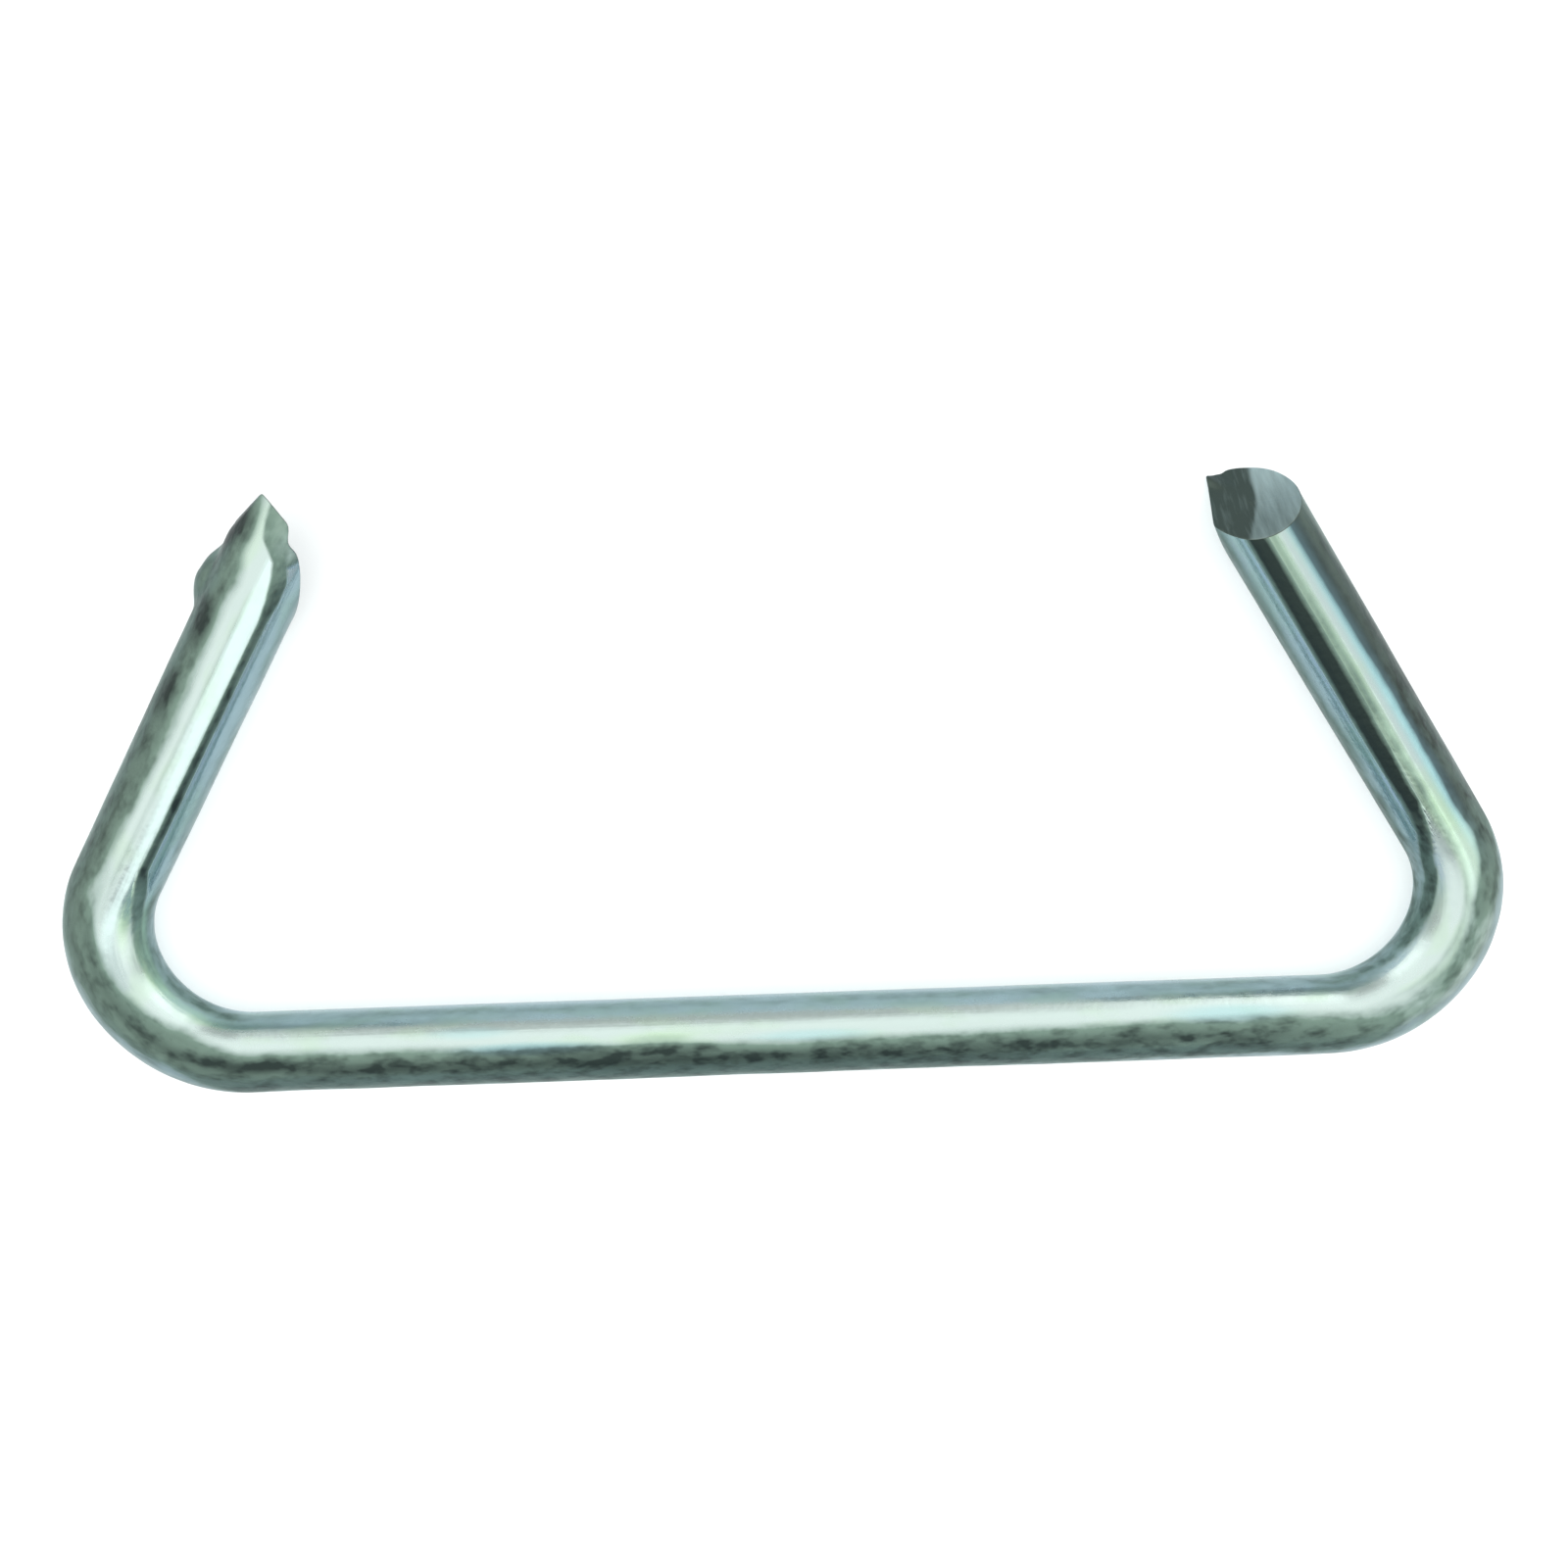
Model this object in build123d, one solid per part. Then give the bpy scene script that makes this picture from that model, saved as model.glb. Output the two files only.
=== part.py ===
from build123d import *
import os
from math import cos, pi, radians, sin, tan

# A hog ring: one round steel wire, bent twice and sheared to a point at each end.
# It lies flat, with its crown along X and its tips towards +Y.
# Lengths are in millimetres and angles in degrees.

# Wire and bends
wire_diameter = 2.5
crown_straight = 33.8
bend_inner_radius = 2.6

# Legs. A lean is measured inwards from square to the crown.
# A straight runs from the end of the bend to where the tip's cut crosses the wire's axis.
left_leg_lean_angle = 31.5
left_leg_straight = 10.8
right_leg_lean_angle = 33.5
right_leg_straight = 12.0

# Tips. A facing is measured round the leg: 0 is its outer side, 90 is up, 180 its inner side.
# A slant is measured from a square cut. A taper is measured from the wire's side.
# A start is how far past the cut's middle a flank leaves the wire's side.

# Left tip: one long bevel below, which leaves a tongue, with two pressed flats on the tongue
left_bevel_facing_angle = 252.0
left_bevel_slant_angle = 58.4
left_flank_facing_angle = 15.0
left_flank_taper_angle = 14.6
left_flank_start = 0.49
left_top_flat_facing_angle = 90.0
left_top_flat_taper_angle = 6.7
left_top_flat_start = 0.87

# Lump of displaced metal on the outer side of the left tip
lump_length = 2.3
lump_width = 1.24
lump_thickness = 1.36
lump_height = 0.33
lump_setback = 1.05

# Right tip: two facets that meet in a shallow valley, with a pressed flank on each side
right_inner_facet_facing_angle = 76.0
right_inner_facet_slant_angle = 39.5
right_outer_facet_facing_angle = 87.4
right_outer_facet_slant_angle = 33.9
right_outer_facet_lead = 0.01
right_inner_flank_facing_angle = 205.0
right_inner_flank_taper_angle = 12.0
right_inner_flank_start = -0.8
right_outer_flank_facing_angle = 5.0
right_outer_flank_taper_angle = 20.0
right_outer_flank_start = 0.02

wire_radius = wire_diameter / 2
bend_radius = bend_inner_radius + wire_radius
cutter_size = 3 * wire_diameter
up = Vector(0, 0, 1)


def corner_setback(lean):
    """Distance from a corner of the unbent outline to the bend's end."""
    return bend_radius * tan(radians(90 + lean) / 2)


class Leg:
    """One leg's directions, its corner and the point where its tip's cut crosses the axis."""

    def __init__(self, side, lean, straight, slant):
        self.along = Vector(-side * sin(radians(lean)), cos(radians(lean)), 0)
        self.outward = Vector(side * cos(radians(lean)), sin(radians(lean)), 0)
        self.corner = Vector(side * (crown_straight / 2 + corner_setback(lean)), 0, 0)
        self.tip = self.corner + self.along * (corner_setback(lean) + straight)
        overrun = wire_radius * tan(radians(slant)) + wire_diameter / 2
        self.rough_end = self.tip + self.along * overrun

    def direction(self, facing):
        """Direction square to the leg, at an angle round it from its outer side."""
        return self.outward * cos(radians(facing)) + up * sin(radians(facing))

    def beyond_bevel(self, facing, slant, lead=0.0):
        """Everything past a slanted cut through the wire."""
        normal = self.along * cos(radians(slant)) + self.direction(facing) * sin(radians(slant))
        return self.beyond(self.tip + self.along * lead, normal)

    def beyond_flank(self, facing, taper, start):
        """Everything past a flat that leaves the wire's side and tapers towards the tip."""
        normal = self.along * sin(radians(taper)) + self.direction(facing) * cos(radians(taper))
        on_side = self.tip + self.along * start + self.direction(facing) * wire_radius
        return self.beyond(on_side, normal)

    def beyond(self, point, normal):
        """Block whose face goes through a point, on the side that the normal points to."""
        place = Plane(origin=point, x_dir=self.along.cross(normal), z_dir=normal)
        on_its_face = (Align.CENTER, Align.CENTER, Align.MIN)
        return place * Box(cutter_size, cutter_size, cutter_size, align=on_its_face)


def bent_wire(left, right):
    """Round wire along the crown, two tangent bends and both legs, with its ends still rough."""
    path = FilletPolyline(left.rough_end, left.corner, right.corner, right.rough_end, radius=bend_radius)
    section = Plane(origin=path @ 0, z_dir=path % 0) * Circle(wire_radius)
    wire = sweep(section, path=path)
    plain_volume = pi * wire_radius**2 * path.length
    print("wire length", round(path.length, 2))
    print("volume over section times length", round(wire.volume / plain_volume, 6))
    return wire


def displaced_metal(leg):
    """Rounded lump that the shear pushed out of the leg's outer side."""
    middle_height = wire_radius + lump_height - lump_thickness / 2
    middle = leg.tip - leg.along * lump_setback + leg.outward * middle_height
    lump = scale(Sphere(0.5), by=(lump_length, lump_thickness, lump_width))
    return Plane(origin=middle, x_dir=leg.along, z_dir=up) * lump


def shear_left_tip(wire, leg):
    """Press the tongue's outer flank and top, raise the lump, then cut the long bevel."""
    wire -= leg.beyond_flank(left_flank_facing_angle, left_flank_taper_angle, left_flank_start)
    wire -= leg.beyond_flank(left_top_flat_facing_angle, left_top_flat_taper_angle, left_top_flat_start)
    wire += displaced_metal(leg)
    wire -= leg.beyond_bevel(left_bevel_facing_angle, left_bevel_slant_angle)
    return wire


def shear_right_tip(wire, leg):
    """Cut both facets, which leaves the further of the two at each place, and press the flanks."""
    past_inner = leg.beyond_bevel(right_inner_facet_facing_angle, right_inner_facet_slant_angle)
    past_outer = leg.beyond_bevel(
        right_outer_facet_facing_angle, right_outer_facet_slant_angle, right_outer_facet_lead
    )
    wire -= past_inner & past_outer
    wire -= leg.beyond_flank(
        right_inner_flank_facing_angle, right_inner_flank_taper_angle, right_inner_flank_start
    )
    wire -= leg.beyond_flank(
        right_outer_flank_facing_angle, right_outer_flank_taper_angle, right_outer_flank_start
    )
    return wire


def stand_on_origin(shape):
    """Move the shape so that the bottom centre of its box is the origin."""
    box = shape.bounding_box()
    return Pos(-box.center().X, -box.center().Y, -box.min.Z) * shape


left_leg = Leg(-1, left_leg_lean_angle, left_leg_straight, left_bevel_slant_angle)
right_leg = Leg(1, right_leg_lean_angle, right_leg_straight, right_inner_facet_slant_angle)
ring = bent_wire(left_leg, right_leg)
ring = shear_left_tip(ring, left_leg)
ring = shear_right_tip(ring, right_leg)
ring = stand_on_origin(ring)

os.makedirs("parts", exist_ok=True)
export_step(ring, "parts/wire_ring.step")
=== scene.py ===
import math
import bpy
import numpy as np
from bpy.props import FloatProperty, FloatVectorProperty, IntProperty, PointerProperty
from mathutils import Matrix, Vector


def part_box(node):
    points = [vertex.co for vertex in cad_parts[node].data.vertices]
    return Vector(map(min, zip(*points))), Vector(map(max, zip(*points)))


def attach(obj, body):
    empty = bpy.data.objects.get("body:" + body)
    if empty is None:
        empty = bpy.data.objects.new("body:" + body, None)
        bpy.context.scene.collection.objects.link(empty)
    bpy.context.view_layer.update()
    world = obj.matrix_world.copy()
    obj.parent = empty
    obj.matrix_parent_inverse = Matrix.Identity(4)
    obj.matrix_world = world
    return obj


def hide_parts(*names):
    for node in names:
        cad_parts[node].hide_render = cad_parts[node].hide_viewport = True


bl_info = {
    "name": "Hog ring",
    "version": (1, 0, 0),
    "blender": (4, 5, 0),
    "location": "3D View > Sidebar > Hog ring",
    "description": "Builds the look of a sheared, zinc-plated wire ring around its packed solid",
    "category": "Object",
}

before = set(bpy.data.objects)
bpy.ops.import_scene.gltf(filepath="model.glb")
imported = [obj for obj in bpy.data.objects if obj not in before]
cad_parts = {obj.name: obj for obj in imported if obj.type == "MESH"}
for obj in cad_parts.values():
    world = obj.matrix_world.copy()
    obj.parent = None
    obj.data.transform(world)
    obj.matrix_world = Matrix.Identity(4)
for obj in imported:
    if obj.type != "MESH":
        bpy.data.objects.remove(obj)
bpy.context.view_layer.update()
RING_NODE = "wire_ring"
RING_LOW, RING_HIGH = (Vector(corner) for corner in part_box(RING_NODE))
WIRE_RADIUS = (RING_HIGH.z - RING_LOW.z) / 2
WIRE_AXIS_HEIGHT = (RING_HIGH.z + RING_LOW.z) / 2
CROWN_AXIS_Y = RING_LOW.y + WIRE_RADIUS
MM = 0.001
UP = np.array([0.0, 0.0, 1.0])
FAR = 10 * WIRE_RADIUS

# Mesh rows along each part of the wire, and how far back from a tip the rows follow its cut
CAP_ROWS = 30
TIP_ROWS = 76
STRAIGHT_ROWS = 40
BEND_ROWS = 54
CROWN_ROWS = 110
TIP_SPAN = 3.4 * MM
# Power by which rows crowd towards a rim, and the steps in which a rim's place is found
ROW_CROWDING = 1.5
RIM_STEPS = 60
# Rows from a rim to where its wear takes its directions, and rows below it that look cut as well
WORN_ROWS = 6
CUT_SIDE_ROWS = 3
# Faces that meet at more than this keep a sharp edge between them
SHARP_ANGLE = math.radians(32)

# Tips, as in the solid. Facets: facing, slant, lead and the bow that curves their crease.
# Flanks: facing, taper, start. Lump: length, width, thickness, height, setback. Nicks in the rim:
# facing, width before and after it, depth, less than 0 for a burr. Angles are in degrees, lengths
# in millimetres.
TIPS = {
    "left": {
        "facets": [(252.0, 58.4, 0.0, 0.0)],
        "flanks": [(15.0, 14.6, 0.49), (90.0, 6.7, 0.87)],
        "lump": (2.3, 1.24, 1.36, 0.33, 1.05),
        "nicks": [(117.5, 5.0, 13.0, 0.28)],
    },
    "right": {
        "facets": [(76.0, 39.5, 0.0, 0.0), (87.4, 33.9, 0.01, 0.035)],
        "flanks": [(205.0, 12.0, -0.8), (5.0, 20.0, 0.02)],
        "lump": None,
        "nicks": [(252.0, 7.0, 7.0, -0.12), (272.0, 6.0, 6.0, 0.05)],
    },
}

# Cosine below which a pressed flat faces too far away to cut the wire
GRAZING = 0.05
# How far from the axis the bow of a crease reaches, and the shares of the radius over which a nick
# grows towards the rim
BOW_REACH = 0.6 * WIRE_RADIUS
NICK_RAMP = (0.55, 0.95)
# Lump: how uneven it is, the size and seed of that, and how softly it joins, in edge wears
LUMP_UNEVENNESS = 0.06
LUMP_GRAIN = 0.45 * MM
LUMP_SEED = 5
LUMP_FILLET = 4
# Ripples in the plating: size in millimetres, share and seed of each noise
RIPPLES = ((1.9, 0.75, 1), (0.7, 0.25, 2))
# Painted highlight on a cut's outer facet, what is added low on the wire and at its outer side,
# and how far one facet lies ahead of the other where it has taken over
PAINTED_FACET_LIGHT = 0.42
PAINTED_FACET_LIGHT_LOW = 0.4
PAINTED_FACET_LIGHT_OUTER = 0.2
FACET_BLEND = 0.015 * MM

# Large primes that the noise's hash multiplies by, and the bits that it keeps
CELL_PRIMES = np.array([73856093, 19349663, 83492791])
SEED_PRIME = 2654435761
MIXING_PRIME = 1274126177
HASH_BITS = 0x7FFFFFFF
FRACTION_BITS = 0xFFFFF


def linear(hex_colour):
    """Linear colour, with alpha, from an sRGB hex value: the usual sRGB curve."""
    channels = [int(hex_colour[i:i + 2], 16) / 255 for i in (0, 2, 4)]
    curved = [c / 12.92 if c <= 0.04045 else ((c + 0.055) / 1.055) ** 2.4 for c in channels]
    return (*curved, 1.0)


class RingSizes(bpy.types.PropertyGroup):
    """Sizes of the bent wire, as the solid has them, and how finely it is meshed."""

    crown_straight: FloatProperty(
        name="Crown straight", description="Straight length of the crown between the bends",
        default=33.8 * MM, subtype="DISTANCE", unit="LENGTH")
    bend_inner_radius: FloatProperty(
        name="Bend inner radius", description="Radius of the wire's inner side in each bend",
        default=2.6 * MM, subtype="DISTANCE", unit="LENGTH")
    left_lean: FloatProperty(
        name="Left lean", description="How far the left leg leans inwards from square",
        default=math.radians(31.5), subtype="ANGLE")
    left_straight: FloatProperty(
        name="Left straight",
        description="Left leg from its bend to where the cut crosses its axis",
        default=10.8 * MM, subtype="DISTANCE", unit="LENGTH")
    right_lean: FloatProperty(
        name="Right lean", description="How far the right leg leans inwards from square",
        default=math.radians(33.5), subtype="ANGLE")
    right_straight: FloatProperty(
        name="Right straight",
        description="Right leg from its bend to where the cut crosses its axis",
        default=12.0 * MM, subtype="DISTANCE", unit="LENGTH")
    edge_wear: FloatProperty(
        name="Edge wear", description="Rounding where flats and facets meet",
        default=0.02 * MM, subtype="DISTANCE", unit="LENGTH")
    rim_wear: FloatProperty(
        name="Rim wear", description="Width of the worn edge round each cut",
        default=0.03 * MM, subtype="DISTANCE", unit="LENGTH")
    ripple_depth: FloatProperty(
        name="Ripple depth", description="Depth of the plating's soft unevenness",
        default=0.03 * MM, subtype="DISTANCE", unit="LENGTH")
    columns: IntProperty(
        name="Columns", description="Mesh columns round the wire", default=144, min=24)


class FinishColours(bpy.types.PropertyGroup):
    """Colours of the plating, of its dull side and its painted shade, and of the sheared steel and
    its painted highlight.
    """

    bright_zinc: FloatVectorProperty(
        name="Bright zinc", description="Clean plating", size=4, subtype="COLOR",
        default=linear("91a9b1"))
    # Also the painted reflection in the green stripe beside the right leg's highlight
    green_zinc: FloatVectorProperty(
        name="Green zinc", description="Green tint in places on the clean plating", size=4,
        subtype="COLOR", default=linear("8cae9e"))
    # Also the painted blue reflection in the stripe along the right leg
    blue_zinc: FloatVectorProperty(
        name="Blue zinc", description="Blue tint in places on the clean plating", size=4,
        subtype="COLOR", default=linear("7aa6b4"))
    # Its darkness on the wire's outer side is partly painted shade
    dull_and_shaded_zinc: FloatVectorProperty(
        name="Dull zinc", description="Weathered plating on the outer side", size=4,
        subtype="COLOR", default=linear("56706c"))
    # Painted shade: the dark blue of the right leg's outer side stands in for the dim room it
    # mirrors
    blue_painted_shade: FloatVectorProperty(
        name="Blue film", description="Darker blue film on the right leg's outer side", size=4,
        subtype="COLOR", default=linear("38505a"))
    # Also the colour of the painted shade where the film's strength passes 1
    pit_dirt_and_shade: FloatVectorProperty(
        name="Pit dirt", description="Dark pits in the dull plating", size=4, subtype="COLOR",
        default=linear("182829"))
    sheared_steel: FloatVectorProperty(
        name="Sheared steel", description="Dark fracture on the cut faces", size=4, subtype="COLOR",
        default=linear("374545"))
    # Painted highlight: the lighter colour of each cut's outer facet, as well as of its shear lines
    smeared_and_lit_steel: FloatVectorProperty(
        name="Burnished steel", description="Lighter smeared metal on the cut faces", size=4,
        subtype="COLOR", default=linear("869fa6"))
    table: FloatVectorProperty(
        name="Table", description="Plain pale floor", size=4, subtype="COLOR",
        default=linear("eef1f1"))


class StageSettings(bpy.types.PropertyGroup):
    """Lens and light levels of the plain pale stage."""

    lens: FloatProperty(
        name="Lens", description="Focal length on a 36 mm sensor", default=29.25, min=1.0)
    panel_level: FloatProperty(
        name="Panel level", description="Brightness of the soft panels in the metal", default=1.0,
        min=0.0)
    overhead_level: FloatProperty(
        name="Overhead level", description="Broad light on the table, in watts a square metre",
        default=0.5, min=0.0)
    fill_level: FloatProperty(
        name="Fill level", description="Shadowless light on the table, in watts a square metre",
        default=4.0, min=0.0)


def add_node(tree, kind, values=None, links=None, **settings):
    """Adds a node, sets its settings and input values, and links sockets into its inputs."""
    node = tree.nodes.new(kind)
    for name, value in settings.items():
        setattr(node, name, value)
    for name, value in (values or {}).items():
        node.inputs[name].default_value = value
    for name, socket in (links or {}).items():
        tree.links.new(socket, node.inputs[name])
    return node


def per_metre(size_mm):
    """Noise scale on coordinates in metres for features about this many millimetres across."""
    return 1 / (size_mm * MM)


def lattice_noise(points, size, seed):
    """Smooth noise from -1 to 1: a hashed value at each corner of a cubic lattice, blended by
    the smoothstep of the place inside the cell."""
    scaled = points / size
    base = np.floor(scaled).astype(np.int64)
    part = scaled - base
    part = part * part * (3 - 2 * part)
    total = np.zeros(points.shape[:-1])
    for corner in np.ndindex(2, 2, 2):
        cell = base + np.array(corner)
        mixed = np.bitwise_xor.reduce(cell * CELL_PRIMES, axis=-1)
        mixed = (mixed ^ (seed * SEED_PRIME)) & HASH_BITS
        mixed = ((mixed >> 13) ^ mixed) * MIXING_PRIME & HASH_BITS
        weight = np.prod(np.where(corner, part, 1 - part), axis=-1)
        total = total + weight * ((mixed & FRACTION_BITS) / FRACTION_BITS)
    return total * 2 - 1


def smooth_min(a, b, width):
    """Lower of two values with their meeting rounded: minus width times the log of the sum of
    the exponentials of minus each value over width."""
    return -width * np.logaddexp(-a / width, -b / width)


def smoothstep(low, high, value):
    """0 below low, 1 above high, and 3t^2 - 2t^3 between."""
    t = np.clip((value - low) / (high - low), 0, 1)
    return t * t * (3 - 2 * t)


class Leg:
    """One leg: its tip's shape, its bend's turn and radius, its directions, its corner, and the
    distances from the corner to the bend's end and to where the tip's cut crosses the axis."""

    def __init__(self, side, sizes, lean, straight, shape):
        self.side = side
        self.shape = shape
        self.turn = math.pi / 2 + lean
        self.bend_radius = sizes.bend_inner_radius + WIRE_RADIUS
        self.bend_end = self.bend_radius * math.tan(self.turn / 2)
        self.tip = self.bend_end + straight
        self.along = np.array([-side * math.sin(lean), math.cos(lean), 0.0])
        self.outward = np.array([side * math.cos(lean), math.sin(lean), 0.0])
        corner_x = side * (sizes.crown_straight / 2 + self.bend_end)
        self.corner = np.array([corner_x, CROWN_AXIS_Y, WIRE_AXIS_HEIGHT])

    def place(self, s, t, z):
        """Point at s along the leg, t outwards and z up, each an array."""
        return (self.corner + s[..., None] * self.along + t[..., None] * self.outward
                + z[..., None] * UP)


def flank_radius(past, around, flanks, wear):
    """Radius of the wire where pressed flats cut it: a flat with facing f, taper a and start b is
    the plane at radius (R - (past - b) tan a) / cos(around - f), and the least radius holds."""
    radius = np.full(np.broadcast(past, around).shape, WIRE_RADIUS)
    for facing, taper, start in flanks:
        across = np.cos(around - math.radians(facing))
        height = WIRE_RADIUS - (past - start * MM) * math.tan(math.radians(taper))
        plane = np.where(across > GRAZING, height / np.maximum(across, GRAZING), FAR)
        radius = smooth_min(radius, plane, wear)
    return radius


def lump_radius(past, around, lump, rough):
    """Radius at which a ray from the leg's axis leaves an ellipsoid: the larger root of
    ((past - s0) / a)^2 + ((r cos - t0) / b)^2 + (r sin / c)^2 = 1, or 0 where there is none."""
    length, width, thickness, height, setback = (value * MM for value in lump)
    a, b, c = length / 2 * rough, thickness / 2 * rough, width / 2 * rough
    t0 = WIRE_RADIUS + height - thickness / 2
    cos, sin = np.cos(around), np.sin(around)
    qa = (cos / b) ** 2 + (sin / c) ** 2
    qb = -2 * cos * t0 / b ** 2
    qc = ((past + setback) / a) ** 2 + (t0 / b) ** 2 - 1
    root = qb ** 2 - 4 * qa * qc
    return np.where(root > 0, (-qb + np.sqrt(np.maximum(root, 0))) / (2 * qa), 0.0)


def facet_plane(t, z, facet):
    """How far past the tip's middle one facet lies above a point of the section: with facing f,
    slant a, lead b and bow c it is b - c exp(-(z / 0.6 R)^2) - tan a (t cos f + z sin f)."""
    facing, slant, lead, bow = facet
    f = math.radians(facing)
    level = lead * MM - bow * MM * np.exp(-(z / BOW_REACH) ** 2)
    return level - math.tan(math.radians(slant)) * (t * math.cos(f) + z * math.sin(f))


def facet_reach(t, z, tip, wear):
    """How far past the tip's middle the cut lies above a point of the section: the furthest facet
    holds, and each nick takes its depth times a bell curve of the angle round, near the rim."""
    reach = np.full(np.broadcast(t, z).shape, -FAR)
    for facet in tip["facets"]:
        reach = -smooth_min(-reach, -facet_plane(t, z, facet), wear)
    near_rim = smoothstep(*NICK_RAMP, np.hypot(t, z) / WIRE_RADIUS)
    for facing, before, after, depth in tip["nicks"]:
        off = np.degrees(np.arctan2(z, t)) - facing
        off = (off + 180) % 360 - 180
        width = np.where(off < 0, before, after)
        reach = reach - depth * MM * np.exp(-(off / width) ** 2) * near_rim
    return reach


def round_rim(grid, rim_row, width):
    """Wears the edge between the cut and the side. With a and b the unit directions from a rim
    point to points about a width away on the cut and on the side, a point at distance d from the
    rim moves by (a + b) width / 4 (1 - d / width)^2."""
    rim = grid[rim_row]
    a, b = grid[rim_row - WORN_ROWS] - rim, grid[rim_row + WORN_ROWS] - rim
    a = a / np.linalg.norm(a, axis=-1, keepdims=True)
    b = b / np.linalg.norm(b, axis=-1, keepdims=True)
    near = np.clip(1 - np.linalg.norm(grid - rim, axis=-1, keepdims=True) / width, 0, 1)
    return grid + (a + b) * width / 4 * near ** 2


def tip_radius(past, around, tip, wear, spots):
    """Radius of the wire near a tip, with its flats and its lump of displaced metal."""
    radius = flank_radius(past, around, tip["flanks"], wear)
    if tip["lump"]:
        rough = 1 + LUMP_UNEVENNESS * lattice_noise(spots, LUMP_GRAIN, LUMP_SEED)
        lump = lump_radius(past, around, tip["lump"], rough)
        radius = -smooth_min(-radius, -lump, LUMP_FILLET * wear)
    return radius


def painted_facet_light_share(t, z, tip):
    """How much painted highlight a cut has: its outer facet has it, more so low on the wire and at
    its outer side, and a cut of one facet has half as much."""
    first, last = tip["facets"][0], tip["facets"][-1]
    ahead = facet_plane(t, z, last) - facet_plane(t, z, first)
    low = 1 - smoothstep(-0.9, 0.7, z / WIRE_RADIUS)
    outer = smoothstep(0.1, 0.9, t / WIRE_RADIUS)
    share = PAINTED_FACET_LIGHT + PAINTED_FACET_LIGHT_LOW * low + PAINTED_FACET_LIGHT_OUTER * outer
    return smoothstep(-FACET_BLEND, FACET_BLEND, ahead) * share


def leg_surface(leg, sizes, around):
    """Rows from the middle of the cut face out to its rim, then down the leg to the bend, as grids:
    points, length from the bend's end, whether on the cut, painted highlight on the cut and outward
    direction. The rim is found by moving it half way to the cut again and again. Rows near the tip
    follow it."""
    shape, wear = leg.shape, sizes.edge_wear
    cos, sin = np.cos(around), np.sin(around)
    rim = np.zeros_like(around)
    for _ in range(RIM_STEPS):
        spots = leg.place(leg.tip + rim, WIRE_RADIUS * cos, WIRE_RADIUS * sin)
        radius = tip_radius(rim, around, shape, wear, spots)
        rim = 0.5 * rim + 0.5 * facet_reach(radius * cos, radius * sin, shape, wear)
    share = 1 - (1 - np.linspace(0, 1, CAP_ROWS)[1:-1, None]) ** ROW_CROWDING
    cap_t, cap_z = share * radius * cos, share * radius * sin
    cap_s = leg.tip + facet_reach(cap_t, cap_z, shape, wear)
    back = np.linspace(0, 1, TIP_ROWS)[:, None] ** ROW_CROWDING
    near = rim - back * (rim + TIP_SPAN)
    near_spots = leg.place(
        leg.tip + near, WIRE_RADIUS * cos + 0 * near, WIRE_RADIUS * sin + 0 * near)
    near_radius = tip_radius(near, around, shape, wear, near_spots)
    straight = np.linspace(leg.tip - TIP_SPAN, leg.bend_end, STRAIGHT_ROWS + 1)[1:, None]
    straight = straight + 0 * around
    side_s = np.vstack([leg.tip + near, straight])
    side_radius = np.vstack([near_radius, np.full_like(straight, WIRE_RADIUS)])
    grid = np.stack([
        np.vstack([cap_s, side_s]), np.vstack([cap_t, side_radius * cos]),
        np.vstack([cap_z, side_radius * sin])], axis=-1)
    s, t, z = np.moveaxis(round_rim(grid, len(cap_s), sizes.rim_wear), -1, 0)
    cut = np.vstack([np.ones_like(cap_s), np.zeros_like(side_s)])
    cut[len(cap_s):len(cap_s) + CUT_SIDE_ROWS] = 1
    painted_facet_light = np.vstack([painted_facet_light_share(cap_t, cap_z, shape), 0 * side_s])
    return {"points": leg.place(s, t, z), "length": s - leg.bend_end, "cut": cut,
            "painted_facet_light": painted_facet_light, "outward": np.broadcast_to(leg.outward, grid.shape)}


def tip_middle(leg, wear):
    """Point where the cut crosses the leg's axis."""
    nought = np.zeros(1)
    return leg.place(leg.tip + facet_reach(nought, nought, leg.shape, wear), nought, nought)[0]


def bend_surface(leg, sizes, around):
    """Rows of one bend from the crown on, as the same grids: its centre, plus bend radius plus wire
    radius times the cosine along an outward that turns from the crown's to the leg's, plus wire
    radius times the sine up."""
    centre = np.array([
        leg.side * sizes.crown_straight / 2, CROWN_AXIS_Y + leg.bend_radius, WIRE_AXIS_HEIGHT])
    angle = np.linspace(0, leg.turn, BEND_ROWS + 1)[1:-1]
    outward = np.stack([leg.side * np.sin(angle), -np.cos(angle), 0 * angle], axis=-1)[:, None, :]
    reach = (leg.bend_radius + WIRE_RADIUS * np.cos(around))[None, :, None]
    points = centre + reach * outward + (WIRE_RADIUS * np.sin(around))[None, :, None] * UP
    length = leg.bend_radius * angle[:, None] + 0 * around
    return {"points": points, "length": length, "cut": 0 * length, "painted_facet_light": 0 * length,
            "outward": outward + 0 * points}


def crown_surface(sizes, around):
    """Rows of the straight crown, as the same grids: a circle round its axis, carried along X."""
    x = np.linspace(-sizes.crown_straight / 2, sizes.crown_straight / 2, CROWN_ROWS)[:, None]
    points = np.stack([
        x + 0 * around,
        CROWN_AXIS_Y - WIRE_RADIUS * np.cos(around) + 0 * x,
        WIRE_AXIS_HEIGHT + WIRE_RADIUS * np.sin(around) + 0 * x], axis=-1)
    length = x + sizes.crown_straight / 2 + 0 * around
    return {"points": points, "length": length, "cut": 0 * length, "painted_facet_light": 0 * length,
            "outward": np.broadcast_to(np.array([0.0, -1.0, 0.0]), points.shape)}


def in_line(part, start, way, turned=False):
    """Rows of one part as they follow on in the ring, turned end for end where the part runs
    towards the middle, with their lengths counted from start, up or down."""
    rows = {name: values[::-1] if turned else values for name, values in part.items()}
    rows["length"] = start + way * rows["length"]
    return rows


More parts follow.
